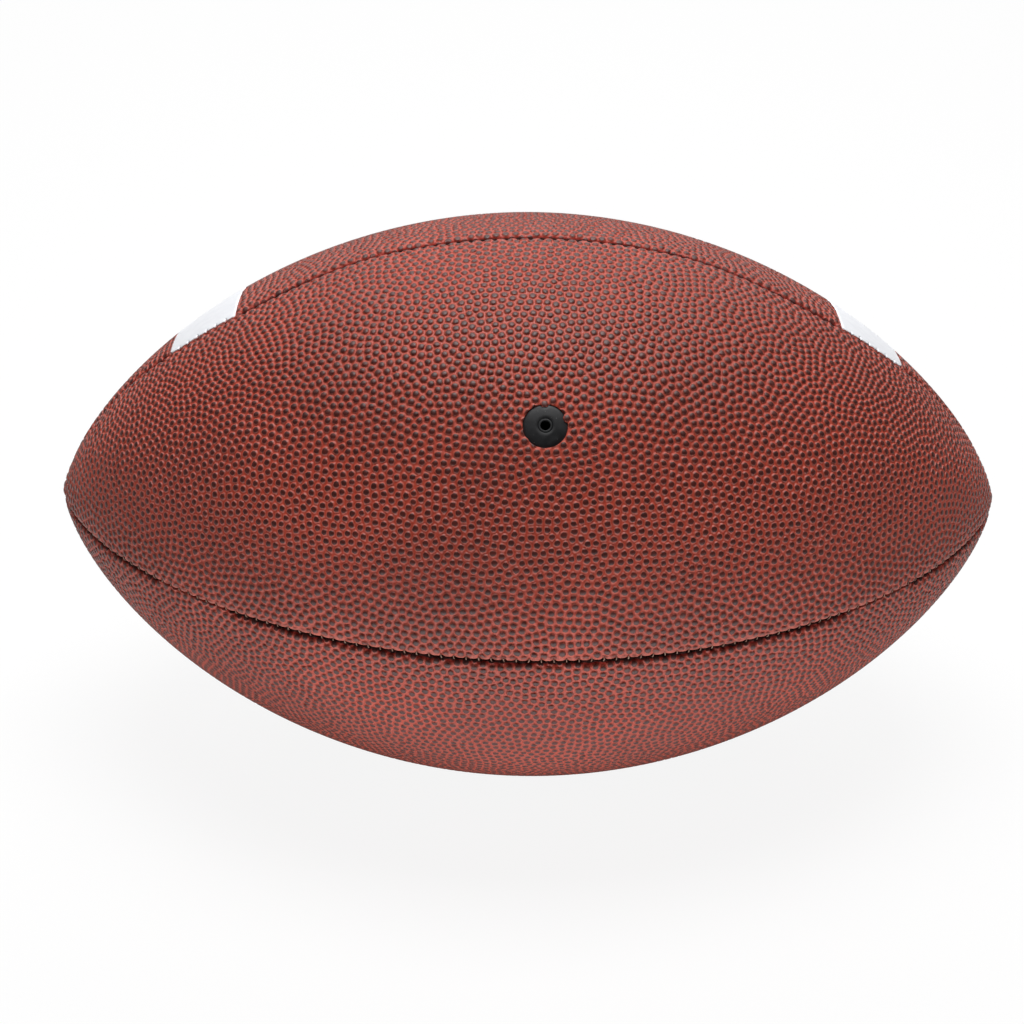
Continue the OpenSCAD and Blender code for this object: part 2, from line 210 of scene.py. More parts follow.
def profile_table():
    """The ball's profile, tabled evenly along its surface: s, x, radius, and the slope as run and rise"""
    turn = np.linspace(-math.pi / 2, math.pi / 2, 2 * TABLE_STEPS + 1)
    x = HALF_L * np.sin(turn)
    r = BELLY_R * np.maximum(1 - (np.abs(x) / HALF_L) ** BELLY_POWER, 0) ** NOSE_POWER
    s = np.concatenate([[0], np.cumsum(np.hypot(np.diff(x), np.diff(r)))])
    s -= s[-1] / 2
    even = np.linspace(s[0], s[-1], TABLE_STEPS + 1)
    even_x = np.interp(even, s, x)
    even_r = np.interp(even, s, r)
    run = np.gradient(even_x, even)
    rise = np.gradient(even_r, even)
    size = np.hypot(run, rise)
    return even, even_x, even_r, run / size, rise / size


TABLE_S, TABLE_X, TABLE_RADIUS, TABLE_RUN, TABLE_RISE = profile_table()
HALF_S = TABLE_S[-1]


def radius(s):
    return np.interp(s, TABLE_S, TABLE_RADIUS)


def s_at(x):
    """Distance along the surface at which the ball's station is x"""
    return float(np.interp(x, TABLE_X, TABLE_S))


def circle(count):
    """Angles evenly around a circle"""
    return np.arange(count) * 2 * math.pi / count


def smooth(x, low, high):
    """0 below low, 1 above high, and a smooth step between"""
    t = np.clip((np.asarray(x, float) - low) / (high - low), 0, 1)
    return t * t * (3 - 2 * t)


def along_ball(s, angle):
    """Directions towards +X along the ball's surface"""
    rise = np.interp(s, TABLE_S, TABLE_RISE)
    return np.stack([np.interp(s, TABLE_S, TABLE_RUN), rise * np.cos(angle), rise * np.sin(angle)], -1)


def around_ball(angle):
    """Directions around the ball's long axis"""
    return np.stack([np.zeros(len(angle)), -np.sin(angle), np.cos(angle)], -1)


def even_lift(s, angle, height=0.0):
    """Points at a height over the ball's surface, with all seams straight"""
    s, angle, height = np.broadcast_arrays(np.asarray(s, float), angle, height)
    x = np.interp(s, TABLE_S, TABLE_X) - height * np.interp(s, TABLE_S, TABLE_RISE)
    r = radius(s) + height * np.interp(s, TABLE_S, TABLE_RUN)
    return np.stack([x, r * np.cos(angle), r * np.sin(angle)], -1)


def lift(s, angle, height=0.0):
    """Points at a height over the ball's surface"""
    away = np.abs(np.asarray(s, float))
    bow = BOW * smooth(away, BOW_FROM, BOW_FULL) * (1 - smooth(away, BOW_FALLS, BOW_ENDS))
    near = 1 - smooth(np.abs(np.asarray(angle, float) - TOP_SEAM), 0, HALF_PANEL)
    return even_lift(s, angle + bow * near, height)


def flat(s, turn):
    """A panel's surface laid out flat, so that it can be triangulated"""
    fan = turn * np.interp(s, TABLE_S, TABLE_RISE)
    across = radius(s) * turn
    half = np.sinc(fan / 2 / math.pi)
    return s - across * np.sin(fan / 2) * half, across * np.sinc(fan / math.pi)


# Meshes


def rounded(points, count):
    """A smooth curve through points, as count points"""
    points = np.asarray(points, float)
    ends = np.concatenate([[2 * points[0] - points[1]], points, [2 * points[-1] - points[-2]]])
    place_at = np.linspace(0, len(points) - 1.000001, count)
    i = place_at.astype(int)
    t = (place_at - i)[:, None]
    a, b, c, d = ends[i], ends[i + 1], ends[i + 2], ends[i + 3]
    return 0.5 * (2 * b + (c - a) * t + (2 * a - 5 * b + 4 * c - d) * t**2 + (3 * b - a - 3 * c + d) * t**3)


def triangulate(u, v, edges=()):
    """Delaunay triangles of flat points, which keep the given edges"""
    points = [Vector(p) for p in (np.column_stack([u, v]) / MM).tolist()]
    _, _, faces, sources, _, _ = delaunay_2d_cdt(points, list(edges), [], 0, 1e-7)
    source = np.array([found[0] if found else -1 for found in sources])
    triangles = source[np.array(faces)]
    return triangles[(triangles >= 0).all(1)]


def within(points, polygon):
    """Which points lie inside a closed polygon"""
    x, y = points[:, 0], points[:, 1]
    out = np.zeros(len(points), bool)
    for (ax, ay), (bx, by) in zip(polygon, np.roll(polygon, -1, axis=0)):
        if ay != by:
            out ^= ((ay > y) != (by > y)) & (x < (bx - ax) * (y - ay) / (by - ay) + ax)
    return out


def filled(u, v, loops):
    """Triangles of flat points inside the first loop and outside the others. A loop lists point numbers."""
    edges = [(int(a), int(b)) for loop in loops for a, b in zip(loop, np.roll(loop, -1))]
    triangles = triangulate(u, v, edges)
    spots = np.column_stack([u, v])
    middle = spots[triangles].mean(1)
    good = within(middle, spots[loops[0]])
    for loop in loops[1:]:
        good &= ~within(middle, spots[loop])
    return triangles[good]


def walls(loops, lower_loops):
    """Triangles between each loop and the one under it"""
    out = []
    for upper, lower in zip(loops, lower_loops):
        a, b, c, d = upper, np.roll(upper, -1), lower, np.roll(lower, -1)
        out += [np.column_stack([a, b, d]), np.column_stack([a, d, c])]
    return np.concatenate(out)


def skin(rings):
    """Points and triangles of a closed skin over rings with the same number of points"""
    rings = np.asarray(rings)
    count, size = rings.shape[:2]
    ids = np.arange(count * size).reshape(count, size)
    a, b = ids[:-1], np.roll(ids[:-1], -1, 1)
    d, c = ids[1:], np.roll(ids[1:], -1, 1)
    sides = [np.stack([a, b, c], -1).reshape(-1, 3), np.stack([a, c, d], -1).reshape(-1, 3)]
    for ring, centre in ((ids[0], count * size), (ids[-1], count * size + 1)):
        sides.append(np.column_stack([ring, np.roll(ring, -1), np.full(size, centre)]))
    points = np.concatenate([rings.reshape(-1, 3), [rings[0].mean(0)], [rings[-1].mean(0)]])
    return points, np.concatenate(sides)


def joined(parts):
    """One set of points and triangles from several"""
    starts = np.cumsum([0] + [len(points) for points, _ in parts])
    return (np.concatenate([points for points, _ in parts]),
            np.concatenate([triangles + start for (_, triangles), start in zip(parts, starts)]))


def strap(path, side, width):
    """The lace along a path, with rounded edges. side points across its width."""
    path = np.asarray(path)
    along = np.gradient(path, axis=0)
    along /= np.linalg.norm(along, axis=1)[:, None]
    up = np.cross(along, side)
    up /= np.linalg.norm(up, axis=1)[:, None]
    across = np.cross(up, along)
    ways = circle(LACE_CORNERS)
    wide, high = (np.sign(w) * np.abs(w) ** LACE_ROUNDING / 2 for w in (np.cos(ways), np.sin(ways)))
    return skin(path[:, None] + across[:, None] * wide[None, :, None] * width[:, None, None]
                + up[:, None] * high[None, :, None] * LACE_T)


def new_mesh(name, points, triangles, material):
    """An object from points and triangles, with its faces turned outwards"""
    mesh = bpy.data.meshes.new(name)
    mesh.vertices.add(len(points))
    mesh.vertices.foreach_set("co", np.asarray(points, np.float32).ravel())
    mesh.loops.add(triangles.size)
    mesh.loops.foreach_set("vertex_index", triangles.astype(np.int32).ravel())
    mesh.polygons.add(len(triangles))
    mesh.polygons.foreach_set("loop_start", np.arange(0, triangles.size, 3, dtype=np.int32))
    mesh.update(calc_edges=True)
    work = bmesh.new()
    work.from_mesh(mesh)
    bmesh.ops.recalc_face_normals(work, faces=work.faces)
    work.to_mesh(mesh)
    work.free()
    mesh.polygons.foreach_set("use_smooth", np.ones(len(mesh.polygons), bool))
    mesh.materials.append(material)
    piece = bpy.data.objects.new(name, mesh)
    bpy.context.scene.collection.objects.link(piece)
    return piece


def place(piece, slot, *nodes):
    """Attaches a piece to the ball's body and hides the nodes that it stands for. slot is not used."""
    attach(piece, BODY)
    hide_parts(*nodes)


# Places of the stitches, stripes and lacing


def stitch_places():
    count = int(2 * (HALF_S - 2 * MM) / STITCH_PITCH)
    return (np.arange(count) - (count - 1) / 2) * STITCH_PITCH


STITCH_S = stitch_places()
STRIPE_SPANS = {
    "left": (MIDDLE_X - (HALF_S - STRIPE_END), MIDDLE_X - (HALF_S - STRIPE_END - STRIPE_W)),
    "right": (MIDDLE_X + HALF_S - STRIPE_END - STRIPE_W, MIDDLE_X + HALF_S - STRIPE_END),
}
ROW_S = [s_at(MIDDLE_X + (row - (LACE_ROWS - 1) / 2) * ROW_PITCH) for row in range(LACE_ROWS)]
END_HOLE_S = [s_at(MIDDLE_X + side * END_HOLE_X) for side in (-1, 1)]


def sewn(s):
    """0 along the slit under the lacing, 1 where the laced seam is sewn"""
    return (np.abs(s - MIDDLE_X) > SLIT_HALF).astype(float)


def under_stripe(s, margin):
    """1 under a stripe, 0 past a margin around it"""
    out = np.zeros(np.shape(s))
    for low, high in STRIPE_SPANS.values():
        out = np.maximum(out, smooth(s, low - margin, low) * (1 - smooth(s, high, high + margin)))
    return out


def seam_turn(s, apart):
    """The turn at which a panel's surface is a distance from the seam's plane"""
    return HALF_PANEL - np.arcsin(np.clip(apart / np.maximum(radius(s), 1e-6), 0, 0.7))


def seam_distance(s, turn):
    return radius(s) * np.sin(HALF_PANEL - np.abs(turn))


def roll_depth(apart, roll):
    """How deep an edge with a radius has rolled into its seam"""
    return roll - np.sqrt(roll**2 - np.clip(roll - apart, 0, roll - 0.05 * MM) ** 2)


def stripe_roll(s, roll):
    """The radius of a rolled edge, which is tighter under the stripes"""
    return roll + (min(STRIPE_ROLL_R, roll) - roll) * under_stripe(s, 2 * MM)


def stitch_pull(s, apart, seed):
    """How deep the stitches pull the leather beside a seam"""
    nearest = np.abs(np.asarray(s)[:, None] - STITCH_S[None]).min(1)
    tight = 0.7 + 0.3 * np.sin(s / MM * 1.9 + seed)
    by_stitch = np.exp(-((nearest / PUCKER_HALF_W) ** 2))
    return tight * PUCKER_DEPTH * by_stitch * np.exp(-((apart / PUCKER_REACH) ** 2))


# Grain


def grain_start(rng):
    """Grain centres spread evenly over a panel and a margin past its seams, and which of them may move"""
    s_end = HALF_S - 1.5 * MM
    line = np.linspace(-s_end, s_end, 4000)
    reach = HALF_PANEL + np.minimum(GRAIN_MARGIN / radius(line), 0.6)
    weight = np.cumsum(radius(line) * reach)
    area = 2 * weight[-1] * (line[1] - line[0])
    count = int(area / (math.sqrt(3) / 2 * GRAIN_PITCH**2))
    first, second = ((rng.random() + np.arange(count) * step) % 1 for step in EVEN_STEPS)
    s = np.interp(first * weight[-1], weight, line)
    turn = (2 * second - 1) * np.interp(s, line, reach)
    s = s + rng.standard_normal(count) * GRAIN_JITTER * GRAIN_PITCH
    turn = turn + rng.standard_normal(count) * GRAIN_JITTER * GRAIN_PITCH / radius(s)
    free = np.abs(turn) < np.interp(s, line, reach) - GRAIN_PITCH / radius(s)
    return s, turn, free & (np.abs(s) < s_end - GRAIN_PITCH)


def grain_step(s, turn, free):
    """Moves each free grain towards the middle of its own cell"""
    triangles = triangulate(*flat(s, turn))
    p = even_lift(s, turn)
    corners = [p[triangles[:, i]] for i in range(3)]
    a, b, c = corners
    sides = [((b - c) ** 2).sum(1), ((c - a) ** 2).sum(1), ((a - b) ** 2).sum(1)]
    weights = [sides[i] * (sides[(i + 1) % 3] + sides[(i + 2) % 3] - sides[i]) for i in range(3)]
    centre = sum(w[:, None] * q for w, q in zip(weights, corners)) / sum(weights)[:, None]
    normal = np.cross(b - a, c - a)
    normal /= np.linalg.norm(normal, axis=1)[:, None]
    area = np.zeros(len(s))
    moment = np.zeros((len(s), 3))
    for i in range(3):
        own, after, before = corners[i], corners[(i + 1) % 3], corners[(i + 2) % 3]
        for first, second in (((own + after) / 2, centre), (centre, (own + before) / 2)):
            part = (np.cross(first - own, second - own) * normal).sum(1) / 2
            middle = (own + first + second) / 3
            area += np.bincount(triangles[:, i], part, len(s))
            for k in range(3):
                moment[:, k] += np.bincount(triangles[:, i], part * middle[:, k], len(s))
    good = free & (area > 0.2 * GRAIN_PITCH**2)
    step = np.where(good[:, None], moment / np.where(good, area, 1)[:, None] - p, 0)
    size = np.linalg.norm(step, axis=1)
    step *= np.minimum(1.5, 0.5 * GRAIN_PITCH / np.maximum(size, 1e-9))[:, None]
    return s + (step * along_ball(s, turn)).sum(1), turn + (step * around_ball(turn)).sum(1) / radius(s)


def grain_cells(s, turn):
    """For each grain, the direction that its cell is turned to, its mean half gap, and pairs of neighbours"""
    triangles = triangulate(*flat(s, turn))
    p = even_lift(s, turn)
    pairs = np.concatenate([triangles[:, [0, 1]], triangles[:, [1, 2]], triangles[:, [2, 0]]])
    own, other = np.concatenate([pairs, pairs[:, ::-1]]).T
    gap = np.minimum(np.linalg.norm(p[own] - p[other], axis=1), 1.5 * GRAIN_PITCH)
    way = np.arctan2((turn[other] - turn[own]) * radius(s[own]), s[other] - s[own])
    sums = [np.bincount(own, part, len(s)) for part in (np.sin(6 * way), np.cos(6 * way), gap)]
    mean = sums[2] / np.maximum(np.bincount(own, minlength=len(s)), 1) / 2
    return np.arctan2(sums[0], sums[1]) / 6, mean, own, gap, way


def foot_radius(angle, mean, own, gap, way):
    """How far each grain's foot reaches at an angle: a shape between a circle and the grain's own cell"""
    reach = np.full(len(mean), 1.0)
    np.minimum.at(reach, own, gap / 2 / np.maximum(np.cos(angle[own] - way), 0.05))
    foot = np.minimum(0.6 * reach + 0.4 * 1.1 * mean, 0.95 * reach) - GRAIN_VALLEY / 2
    return np.clip(foot, FOOT_LEAST, FOOT_MOST)


def grain_points(s, turn, rng):
    """Points of every grain, one a column: place, dome height, the grain's number and the point's place on
    the grain. Also each grain's mean foot radius."""
    phase, mean, *neighbours = grain_cells(s, turn)
    round_foot = mean * 1.05 - GRAIN_VALLEY / 2
    columns = []
    for share, dome, number in GRAIN_RINGS:
        for k in range(number):
            angle = phase + (k + 0.5) * 2 * math.pi / number
            foot = foot_radius(angle, mean, *neighbours)
            reach = share * (share**3 * foot + (1 - share**3) * round_foot)
            reach = np.minimum(reach, max(share, 0.82) * foot)
            reach *= 1 + GRAIN_RAGGED * rng.standard_normal(len(s)).clip(-2, 2)
            columns.append(np.stack([
                s + reach * np.cos(angle), turn + reach * np.sin(angle) / radius(s),
                np.full(len(s), dome), np.arange(len(s)), share * np.cos(angle), share * np.sin(angle),
            ]))
    return np.concatenate(columns, 1), round_foot


# Covers


def wobble(s, seed):
    """A smooth wavering between about -1 and 1 along the ball"""
    phases = np.random.default_rng(seed).random(len(WAVER_LENGTHS)) * 2 * math.pi
    waves = sum(np.sin(2 * math.pi * s / l + p) for l, p in zip(WAVER_LENGTHS, phases))
    return waves / len(WAVER_LENGTHS)


class Hole:
    """A round hole in a panel, at a place"""

    def __init__(self, s, turn, r):
        self.s = s
        self.turn = turn
        self.r = r

    def steps(self, s, turn):
        """How far places are from the hole's middle, along the ball and around it"""
        return s - self.s, (turn - self.turn) * radius(self.s)

    def ring(self, reach, ways):
        """Places at a reach from the hole's middle, one for each direction"""
        along, around = reach * np.cos(ways), reach * np.sin(ways)
        return np.column_stack([self.s + along, self.turn + around / radius(self.s)])


class Panel:
    """A cover panel: the angle of its middle, the seed of its grain, the rolls of its edges and its holes.
    laced_side is -1 or 1 where its edge at that side is the laced seam. worn is the side where the grain
    fades out towards the edge, and where the fade starts and ends."""

    def __init__(self, middle, seed, rolls, laced_side=0, worn=(0, 0, 1), valve=False):
        self.middle = middle
        self.seed = seed
        self.rolls = rolls
        self.laced_side = laced_side
        self.worn = worn
        self.holes = []
        self.valve = valve
        if valve:
            self.holes.append(Hole(s_at(MIDDLE_X), VALVE_ANGLE - middle, VALVE_HOLE_R))
        if laced_side:
            for s in ROW_S:
                turn = laced_side * (HALF_PANEL - math.asin(HOLE_SIDE / radius(s)))
                self.holes.append(Hole(s, turn, LACE_HOLE_R))

    def roll(self, s, turn):
        """Depth of the rolled edge at a place"""
        first, last = self.rolls
        roll = np.where(turn < 0, stripe_roll(s, first), stripe_roll(s, last))
        return roll_depth(seam_distance(s, turn), roll)

    def edge(self, s, side):
        """How far the cover's edge is from the seam's plane"""
        out = np.full(np.shape(s), SEAM_HALF)
        if side == self.laced_side:
            for end in END_HOLE_S:
                out = np.maximum(out, np.sqrt(np.maximum(END_HOLE_R**2 - (s - end) ** 2, 0)))
        return out

    def height(self, s, turn, dome):
        """Height of the cover over the ball's surface, and how plain the leather is there"""
        apart = seam_distance(s, turn)
        waver = wobble(s, self.seed)
        fade = smooth(apart, 0.1 * MM, 0.5 * MM)
        worn_side, low, high = self.worn
        worn = smooth(apart, low + 0.3 * MM * waver, high + 0.5 * MM * waver)
        fade = np.where(np.sign(turn) == worn_side, fade * worn, fade)
        depth = PLAIN_DEPTH
        if self.laced_side:
            bed = under_stripe(s, 0.4 * MM) * smooth(apart, 0.3 * MM, 1.2 * MM)
            fade = fade * (1 - bed)
            depth = PLAIN_DEPTH + bed * (STRIPE_BED - PLAIN_DEPTH)
            for hole in self.holes:
                away = np.hypot(s - hole.s, (turn - hole.turn) * radius(s)) - hole.r
                fade = fade * smooth(away, 0.1 * MM, 1.4 * MM)
                depth = depth + 0.45 * MM * (1 - smooth(away, 0, 1.6 * MM))
        pull = stitch_pull(s, apart, self.seed)
        pull = np.where(np.sign(turn) == self.laced_side, pull * sewn(s), pull)
        height = -fade * GRAIN_DEPTH * (1 - dome) - (1 - fade) * depth
        flare = TIP_FLARE * np.exp(-((radius(s) / TIP_FLARE_R) ** 2))
        return height + flare - self.roll(s, turn) - pull, 1 - fade

    def outline(self):
        """The panel's border, as a loop of places"""
        half = TABLE_STEPS // 2
        s_end = float(np.interp(-TIP_R, -TABLE_RADIUS[half:], TABLE_S[half:]))
        line = np.linspace(-s_end, s_end, int(2 * s_end / EDGE_STEP))
        if self.laced_side:
            extra = [end + np.linspace(-1.02, 1.02, 29) * END_HOLE_R for end in END_HOLE_S]
            line = np.sort(np.concatenate([line] + extra))
            line = line[np.concatenate([[True], np.diff(line) > 0.05 * MM])]
        upper, lower = (np.column_stack([line, side * seam_turn(line, self.edge(line, side))])
                        for side in (1, -1))
        return np.concatenate([upper, lower[::-1]])

    def rim(self, hole, sites, feet):
        """A hole's rim, as a loop of places. The grains around the valve's hole reach in over it."""
        ways = circle(120 if self.valve else 28)
        rim = np.full(len(ways), hole.r)
        if self.valve:
            along, around = hole.steps(*sites)
            away = np.hypot(along, around)
            ring = (away > hole.r - 0.1 * MM) & (away < hole.r + 1.0 * MM)
            for a, b, foot in zip(along[ring], around[ring], 0.92 * feet[ring]):
                apart = np.abs((ways - math.atan2(b, a) + math.pi) % (2 * math.pi) - math.pi) * hole.r
                inner = math.hypot(a, b) - np.sqrt(np.maximum(foot**2 - apart**2, 0))
                inner = np.maximum(inner, hole.r - 0.8 * MM)
                rim = np.where(apart < foot, np.minimum(rim, inner), rim)
        return hole.ring(rim, ways)

    def clear_of_holes(self, s, turn, rims, slack):
        """Which places are outside every hole, by a slack"""
        good = np.ones(len(s), bool)
        for hole, rim in zip(self.holes, rims):
            along, around = hole.steps(s, turn)
            rim_along, rim_around = hole.steps(*rim.T)
            ways = np.arctan2(rim_around, rim_along) % (2 * math.pi)
            way = np.arctan2(around, along) % (2 * math.pi)
            edge = np.interp(way, ways, np.hypot(rim_along, rim_around), period=2 * math.pi)
            good &= np.hypot(along, around) > edge + slack
        return good

    def edge_rows(self):
        """Rows of places along the seams and around lace holes, and a wide grid under the stripes"""
        rows = []
        line = np.arange(-HALF_S + 1.2 * MM, HALF_S - 1.2 * MM, EDGE_STEP)
        for side in (-1, 1):
            for number, apart in enumerate(EDGE_ROWS):
                places = line + EDGE_STEP / 2 * (number % 2)
                places = places[radius(places) > apart * 1.7 + 0.3 * MM]
                places = places[self.edge(places, side) < apart - 0.12 * MM]
                rows.append(np.column_stack([places, side * seam_turn(places, apart)]))
        if self.laced_side:
            for low, high in STRIPE_SPANS.values():
                s, turn = np.meshgrid(np.arange(low, high, 2.5 * MM), np.radians(np.arange(-44, 44.1, 2.4)))
                inner = seam_distance(s, turn) > GRAIN_FROM
                rows.append(np.column_stack([s[inner], turn[inner]]))
            rows += [hole.ring(hole.r + 0.35 * MM, circle(24)) for hole in self.holes]
        return np.concatenate(rows)

    def grain(self):
        """The middles, foot radii and tones of the panel's grains, and their points"""
        rng = np.random.default_rng(self.seed)
        s, turn, free = grain_start(rng)
        for _ in range(GRAIN_ROUNDS):
            s, turn = grain_step(s, turn, free)
        points, foot = grain_points(s, turn, rng)
        return (s, turn), foot, rng.random(len(s)), points

    def kept(self, points, sites, rims):
        """The grain points that lie off the panel's edges, stripes and holes"""
        s, turn = points[:2]
        edge = np.where(np.sign(turn) == self.laced_side, self.edge(s, self.laced_side), SEAM_HALF)
        keep = seam_distance(s, turn) > np.maximum(GRAIN_FROM, edge + 0.3 * MM)
        keep &= (np.abs(turn) < HALF_PANEL) & (np.abs(s) < HALF_S - 2.2 * MM)
        if self.laced_side:
            keep &= under_stripe(sites[0], 0.01 * MM)[points[3].astype(int)] < 0.5
        keep &= self.clear_of_holes(s, turn, rims, 0.12 * MM if self.valve else 0.5 * MM)
        return points[:, keep]


def nearest_site(sites, spots):
    """The number of the grain nearest to each spot"""
    finder = KDTree(len(sites[0]))
    for number, site in enumerate(even_lift(*sites)):
        finder.insert(site, number)
    finder.balance()
    return [finder.find(spot)[1] for spot in spots]


def mark(mesh, name, kind, domain, field, values):
    """Stores values in a mesh, for its material"""
    attribute = mesh.attributes.new(name, kind, domain)
    attribute.data.foreach_set(field, values.astype(np.float32).ravel())


def mark_cover(mesh, outer_count, places, owner, spot, sites, foot, tone):
    """Gives each corner of a cover's faces its place on its own grain and the grain's tone, and a place in a
    UV map. owner and spot are each point's own grain, or -1, and its place on it."""
    s, turn = places
    order = np.zeros(3 * len(mesh.polygons), np.int32)
    mesh.loops.foreach_get("vertex_index", order)
    order = order.reshape(-1, 3)
    is_outer = np.arange(len(order)) < outer_count
    face_owner = np.where(np.hypot(*spot) < 0.99, owner, -1)[order].max(1)
    face_owner[~is_outer] = -1
    open_faces = np.flatnonzero(is_outer & (face_owner < 0))
    face_owner[open_faces] = nearest_site(sites, even_lift(s, turn)[order[open_faces]].mean(1))
    own = np.maximum(face_owner, 0)[:, None]
    site_s, site_turn = sites[0][own], sites[1][own]
    guess = np.stack([(s[order] - site_s) / foot[own],
                      (turn[order] - site_turn) * radius(site_s) / foot[own]])
    x, y = np.where(owner[order] == own, spot[:, order], guess)
    on_grain = (face_owner >= 0)[:, None]
    values = [np.where(on_grain, value, bare)
              for value, bare in ((x, 1.4), (y, 0.0), (tone[own] + 0 * x, 0.5))]
    mark(mesh, "grain", "FLOAT_VECTOR", "CORNER", "vector", np.stack(values, -1))
    across = turn[order] / (math.pi / 2)
    v = np.where(is_outer[:, None], 0.53 + 0.92 * across, 0.03 + 0.05 * across)
    uv = np.stack([0.5 + 0.49 * s[order] / HALF_S, v], -1)
    mesh.uv_layers.new(name="OFBake").data.foreach_set("uv", uv.astype(np.float32).ravel())


def cover(name, panel, material, node):
    """A cover panel as one closed mesh: a grained outer face, rolled edges, holes and a plain inner face"""
    sites, foot, tone, points = panel.grain()
    rims = [panel.rim(hole, sites, foot) for hole in panel.holes]
    grain = panel.kept(points, sites, rims)
    rows = panel.edge_rows()
    rows = rows[panel.clear_of_holes(*rows.T, rims, 0.1 * MM)]
    loops = [panel.outline()] + rims
    others = np.concatenate([rows] + loops)
    s, turn = np.concatenate([grain[:2], others.T], 1)
    dome = np.concatenate([grain[2], np.full(len(others), 0.5)])
    starts = np.cumsum([grain.shape[1] + len(rows)] + [len(loop) for loop in loops])
    loop_ids = [np.arange(a, b) for a, b in zip(starts[:-1], starts[1:])]
    if panel.valve:
        reach = np.hypot(*panel.holes[0].steps(*rims[0].T))
        dome[loop_ids[1]] = np.clip((VALVE_HOLE_R - reach) / (0.5 * MM), 0, 1) * 0.75
    outer_faces = filled(*flat(s, turn), loop_ids)
    height, plain = panel.height(s, turn, dome)
    outer = lift(s, turn + panel.middle, height)

    # The inner face has the same loops, and a wide grid between them
    grid = np.meshgrid(np.arange(-HALF_S, HALF_S, 7 * MM), np.radians(np.arange(-42, 43, 6)))
    grid_s, grid_turn = grid[0].ravel(), grid[1].ravel()
    clear = seam_distance(grid_s, grid_turn) > 2.5 * MM
    clear &= panel.clear_of_holes(grid_s, grid_turn, rims, 0.5 * MM)
    low_ids = [ids - starts[0] for ids in loop_ids]
    low_s = np.concatenate([s[starts[0]:], grid_s[clear]])
    low_turn = np.concatenate([turn[starts[0]:], grid_turn[clear]])
    inner_faces = filled(*flat(low_s, low_turn), low_ids) + len(s)
    inner = lift(low_s, low_turn + panel.middle, -COVER_T)
    sides = walls(loop_ids, [ids + len(s) for ids in low_ids])
    faces = np.concatenate([outer_faces, inner_faces, sides])
    piece = new_mesh(name, np.concatenate([outer, inner]), faces, material)

    # The material also reads how plain the leather is and how deep it lies, which sets its painted shade in
    # the seams
    more = len(others) + len(inner)
    places = np.concatenate([s, low_s]), np.concatenate([turn, low_turn])
    owner = np.concatenate([grain[3], np.full(more, -1)]).astype(int)
    spot = np.concatenate([grain[4:], np.zeros((2, more))], 1)
    mark_cover(piece.data, len(outer_faces), places, owner, spot, sites, foot, tone)
    for label, first, last in (("plain", plain, 1.0), ("sunk", -height / MM, 2.0)):
        mark(piece.data, label, "FLOAT", "POINT", "value", np.concatenate([first, np.full(len(inner), last)]))
    place(piece, "cover", node)


# Thread


def stitches(seam, places, sink, slant_down):
    """Short bars of thread across a seam, each going down into the leather on both sides, and deeper past it
    by the slant"""
    rng = np.random.default_rng(int(seam * 10) + 21)
    reach = STITCH_SHARES * STITCH_REACH
    sink = sink + STITCH_ARCH
    sink = sink + slant_down * reach / STITCH_REACH
    parts = []
    for s in places:
        slant = rng.normal(0, 0.14)
        size = STITCH_R * (1 + rng.normal(0, 0.08))
        spots = s + slant * reach[:, None] + size * np.cos(circle(6))
        angles = seam + reach[:, None] / radius(s) + 0 * spots
        height = -sink[:, None] - rng.uniform(-0.06, 0.1) * MM + size * np.sin(circle(6))
        parts.append(skin(lift(spots, angles, height)))
    return parts


def cord(seam, low, high):
    """The thread's run inside a seam"""
    s = np.linspace(low, high, int((high - low) / STITCH_PITCH) + 2)
    around = CORD_R * np.cos(circle(6)) / np.maximum(radius(s), 2 * MM)[:, None]
    return skin(lift(s[:, None] + 0 * around, seam + around, -CORD_SINK + CORD_R * np.sin(circle(6))))


def seam_thread(name, seam, material, node, spans, sink, slant_down):
    parts = []
    for low, high in spans:
        places = STITCH_S[(STITCH_S > low) & (STITCH_S < high)]
        parts += stitches(seam, places, sink, slant_down)
        parts.append(cord(seam, low, high))
    place(new_mesh(name, *joined(parts), material), "thread", node)


# Stripes


def stripe_outline(low, high):
    """A stripe's border in its panel, with rounded corners, and notches where stitches pull its long edges"""
    corners = (OUTER_CORNER, INNER_CORNER) if low < 0 else (INNER_CORNER, OUTER_CORNER)
    line = np.arange(low + corners[0], high - corners[1] + 0.01 * MM, 0.12 * MM)
    near = np.abs(line[:, None] - STITCH_S[None]).min(1)
    notch = STRIPE_EDGE + NOTCH_DEPTH * np.clip(1 - near / (NOTCH_W / 2), 0, 1) ** 0.7
    turns = np.linspace(0, math.pi / 2, 9)[1:-1]
    low_end, high_end = (
        np.column_stack([end + size * (1 - np.sin(turns)), STRIPE_EDGE + abs(size) * (1 - np.cos(turns))])
        for end, size in ((low, corners[0]), (high, -corners[1])))
    edge = np.concatenate([low_end[::-1], np.column_stack([line, notch]), high_end])
    upper = np.column_stack([edge[:, 0], seam_turn(edge[:, 0], edge[:, 1])])
    lower = (upper * (1, -1))[::-1]
    ends = []
    for s, first, last in ((high, upper[-1, 1], lower[0, 1]), (low, lower[-1, 1], upper[0, 1])):
        across = np.linspace(first, last, 90)[1:-1]
        ends.append(np.column_stack([np.full(len(across), s), across]))
    return np.concatenate([upper, ends[0], lower, ends[1]])


def inset(loop, size):
    """A loop of places moved inwards"""
    across = radius(loop[:, 0])
    along_s, along_turn = (np.roll(part, -1) - np.roll(part, 1) for part in loop.T)
    along_turn = along_turn * across
    long = np.maximum(np.hypot(along_s, along_turn), 1e-9)
    return loop + size * np.column_stack([along_turn / long, -along_s / long / across])


